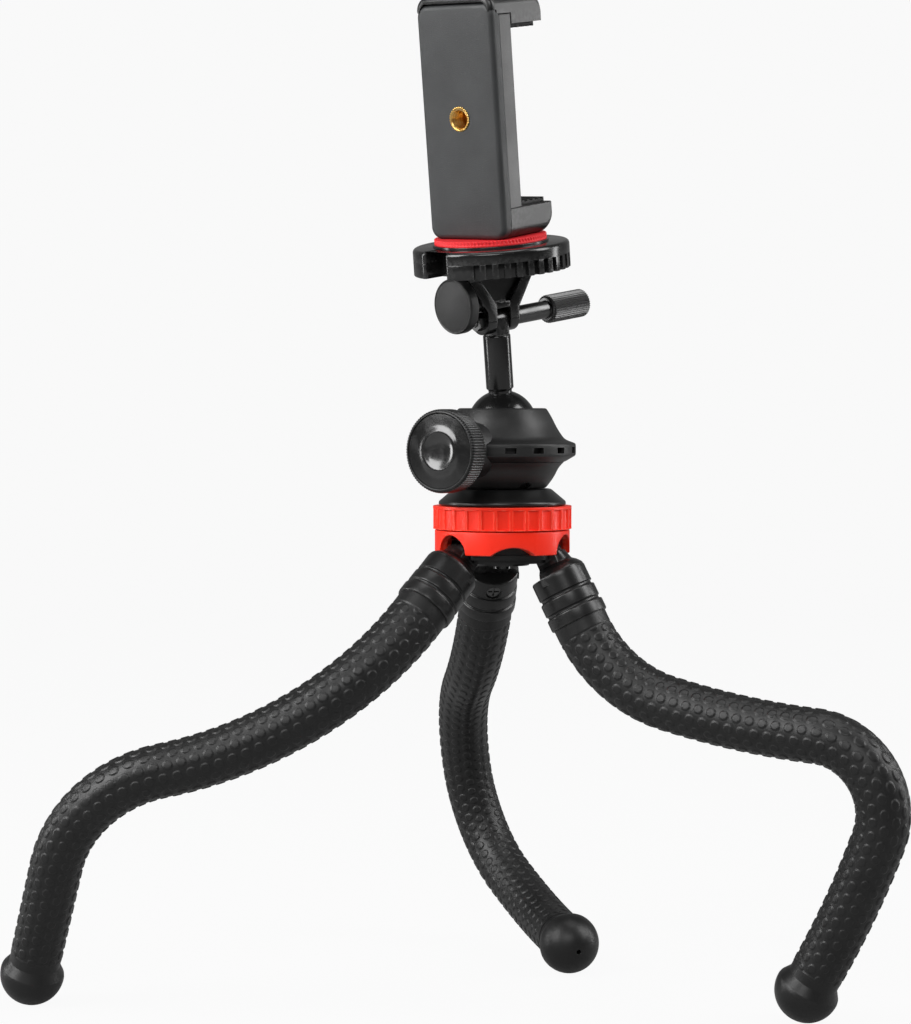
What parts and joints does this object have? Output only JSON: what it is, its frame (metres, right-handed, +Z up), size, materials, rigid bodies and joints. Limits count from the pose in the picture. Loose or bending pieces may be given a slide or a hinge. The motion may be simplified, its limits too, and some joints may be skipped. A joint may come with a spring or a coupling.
{
  "type": "flexible leg tripod",
  "caption": "Small tripod with bendable rubber legs, a panning ball head with a folding platform, and a sprung phone clamp.",
  "frame": {"origin": "point on the floor under the middle of the hub, with the tripod standing", "axes": "+Z up along the hub axis, -Y towards the viewer, +X to the viewer's right"},
  "size_m": [0.2931, 0.1714, 0.3329],
  "materials": {
    "black_plastic": "satin moulded plastic",
    "gloss_black": "glossy black lacquer",
    "grey_plastic": "fine textured plastic",
    "red_plastic": "satin red plastic",
    "red_rubber": "soft red rubber",
    "leg_rubber": "matt rubber with raised buttons",
    "pad_rubber": "ribbed black rubber",
    "steel": "turned steel",
    "dark_metal": "dark anodised, knurled",
    "core_wire": "plain wire",
    "brass": "knurled brass"
  },
  "bodies": {
    "hub": {"hub": "black_plastic", "hub_cover": "black_plastic", "hub_screw": "steel", "leg_pins": "steel", "leg_shroud": "red_plastic", "pan_base": "black_plastic", "pan_bolt": "steel"},
    "lock_ring": {"lock_ring": "red_plastic"},
    "housing": {"housing_lower": "black_plastic", "housing_upper": "black_plastic", "housing_screws": "steel"},
    "lock_knob": {"lock_knob": "black_plastic", "lock_knob_cap": "gloss_black", "lock_screw": "steel"},
    "ball_cup": {"ball_cup": "grey_plastic"},
    "ball_stem": {"ball_stem": "gloss_black"},
    "yoke": {"yoke": "black_plastic", "thumbscrew_nut": "steel"},
    "thumbscrew": {"thumbscrew": "dark_metal"},
    "plate_knob": {"plate_knob": "black_plastic"},
    "platform": {"platform": "gloss_black", "platform_pad": "red_rubber", "camera_screw": "steel", "clamp_body": "grey_plastic", "clamp_cover": "grey_plastic", "clamp_lower_pad": "pad_rubber", "clamp_back_insert": "brass", "clamp_base_insert": "brass", "clamp_screws": "steel", "clamp_springs": "steel"},
    "clamp_jaw": {"clamp_jaw": "grey_plastic", "clamp_upper_pad": "pad_rubber"},
    "right_collar": {"right_collar": "black_plastic", "right_screw": "steel", "right_sleeve": "leg_rubber", "right_core_1": "core_wire"},
    "right_leg_2": {"right_core_2": "core_wire"},
    "right_leg_3": {"right_core_3": "core_wire"},
    "right_leg_4": {"right_core_4": "core_wire", "right_foot": "leg_rubber"},
    "rear_collar": {"rear_collar": "black_plastic", "rear_screw": "steel", "rear_sleeve": "leg_rubber", "rear_core_1": "core_wire"},
    "rear_leg_2": {"rear_core_2": "core_wire"},
    "rear_leg_3": {"rear_core_3": "core_wire"},
    "rear_leg_4": {"rear_core_4": "core_wire", "rear_foot": "leg_rubber"},
    "left_collar": {"left_collar": "black_plastic", "left_screw": "steel", "left_sleeve": "leg_rubber", "left_core_1": "core_wire"},
    "left_leg_2": {"left_core_2": "core_wire"},
    "left_leg_3": {"left_core_3": "core_wire"},
    "left_leg_4": {"left_core_4": "core_wire", "left_foot": "leg_rubber"}
  },
  "joints": [
    {"name": "lock_ring_turn", "type": "hinge", "parent": "hub", "child": "lock_ring", "pos_m": [0, 0, 0.1568], "axis": [0, 0, 1], "range_deg": [-60, 60]},
    {"name": "head_pan", "type": "hinge", "parent": "hub", "child": "housing", "pos_m": [0, 0, 0.1704], "axis": [0, 0, 1], "continuous": true},
    {"name": "lock_knob_turn", "type": "hinge", "parent": "housing", "child": "lock_knob", "pos_m": [-0.01537, -0.02195, 0.1831], "axis": [-0.5736, -0.8192, 0], "continuous": true},
    {"name": "ball_swivel", "type": "hinge", "parent": "housing", "child": "ball_cup", "pos_m": [0, 0, 0.1914], "axis": [0, 0, 1], "continuous": true},
    {"name": "ball_tilt", "type": "hinge", "parent": "ball_cup", "child": "ball_stem", "pos_m": [0, 0, 0.1914], "axis": [0.9272, -0.3746, 0], "range_deg": [-46, 25]},
    {"name": "head_flip", "type": "hinge", "parent": "ball_stem", "child": "yoke", "pos_m": [-0.00235, -0.00583, 0.22634], "axis": [-0.7378, -0.656, -0.1592], "range_deg": [-90, 90]},
    {"name": "thumbscrew_turn", "type": "hinge", "parent": "yoke", "child": "thumbscrew", "pos_m": [0.00281, -0.00124, 0.22745], "axis": [0.7378, 0.656, 0.1592], "continuous": true},
    {"name": "plate_knob_turn", "type": "hinge", "parent": "yoke", "child": "plate_knob", "pos_m": [-0.01194, -0.01505, 0.23086], "axis": [-0.7378, -0.656, -0.1592], "continuous": true},
    {"name": "platform_turn", "type": "hinge", "parent": "yoke", "child": "platform", "pos_m": [-0.00344, -0.00851, 0.24238], "axis": [-0.0663, -0.1642, 0.9842], "continuous": true},
    {"name": "jaw_slide", "type": "slide", "parent": "platform", "child": "clamp_jaw", "axis": [-0.0663, -0.1642, 0.9842], "range_m": [0, 0.03], "stiffness_N_per_m": 300, "springref_m": -0.01, "deforming": ["clamp_springs"]},
    {"name": "right_hinge", "type": "hinge", "parent": "hub", "child": "right_collar", "pos_m": [0.01494, -0.00573, 0.149], "axis": [-0.3584, -0.9336, 0], "range_deg": [-15, 45]},
    {"name": "right_bend_1", "type": "hinge", "parent": "right_collar", "child": "right_leg_2", "pos_m": [0.05355, -0.0236, 0.10087], "axis": [-0.4615, -0.8825, 0.0911], "range_deg": [-30, 30], "deforming": ["right_sleeve"]},
    {"name": "right_bend_2", "type": "hinge", "parent": "right_leg_2", "child": "right_leg_3", "pos_m": [0.09855, -0.04837, 0.09324], "axis": [0.0976, 0.053, 0.9938], "range_deg": [-30, 30], "deforming": ["right_sleeve"]},
    {"name": "right_bend_3", "type": "hinge", "parent": "right_leg_3", "child": "right_leg_4", "pos_m": [0.11755, -0.056, 0.0615], "axis": [-0.3333, -0.9319, -0.1428], "range_deg": [-30, 30], "deforming": ["right_sleeve"]},
    {"name": "rear_hinge", "type": "hinge", "parent": "hub", "child": "rear_collar", "pos_m": [-0.0025, 0.0158, 0.149], "axis": [0.9877, 0.1564, 0], "range_deg": [-18, 36]},
    {"name": "rear_bend_1", "type": "hinge", "parent": "rear_collar", "child": "rear_leg_2", "pos_m": [-0.01091, 0.06686, 0.09844], "axis": [0.9859, 0.1669, -0.009], "range_deg": [-30, 30], "deforming": ["rear_sleeve"]},
    {"name": "rear_bend_2", "type": "hinge", "parent": "rear_leg_2", "child": "rear_leg_3", "pos_m": [-0.01131, 0.09497, 0.06365], "axis": [-0.0789, 0.957, 0.279], "range_deg": [-30, 30], "deforming": ["rear_sleeve"]},
    {"name": "rear_bend_3", "type": "hinge", "parent": "rear_leg_3", "child": "rear_leg_4", "pos_m": [0.0042, 0.08272, 0.02543], "axis": [0.8359, 0.1572, 0.5258], "range_deg": [-30, 30], "deforming": ["rear_sleeve"]},
    {"name": "left_hinge", "type": "hinge", "parent": "hub", "child": "left_collar", "pos_m": [-0.01243, -0.01007, 0.149], "axis": [-0.6293, 0.7771, 0], "range_deg": [-33, 30]},
    {"name": "left_bend_1", "type": "hinge", "parent": "left_collar", "child": "left_leg_2", "pos_m": [-0.06336, -0.0354, 0.09884], "axis": [-0.2653, 0.9111, 0.3155], "range_deg": [-30, 30], "deforming": ["left_sleeve"]},
    {"name": "left_bend_2", "type": "hinge", "parent": "left_leg_2", "child": "left_leg_3", "pos_m": [-0.10966, -0.03718, 0.08074], "axis": [-0.1837, -0.3961, 0.8997], "range_deg": [-30, 30], "deforming": ["left_sleeve"]},
    {"name": "left_bend_3", "type": "hinge", "parent": "left_leg_3", "child": "left_leg_4", "pos_m": [-0.1454, -0.02801, 0.04811], "axis": [-0.1207, 0.9287, 0.3507], "range_deg": [-30, 30], "deforming": ["left_sleeve"]}
  ]
}
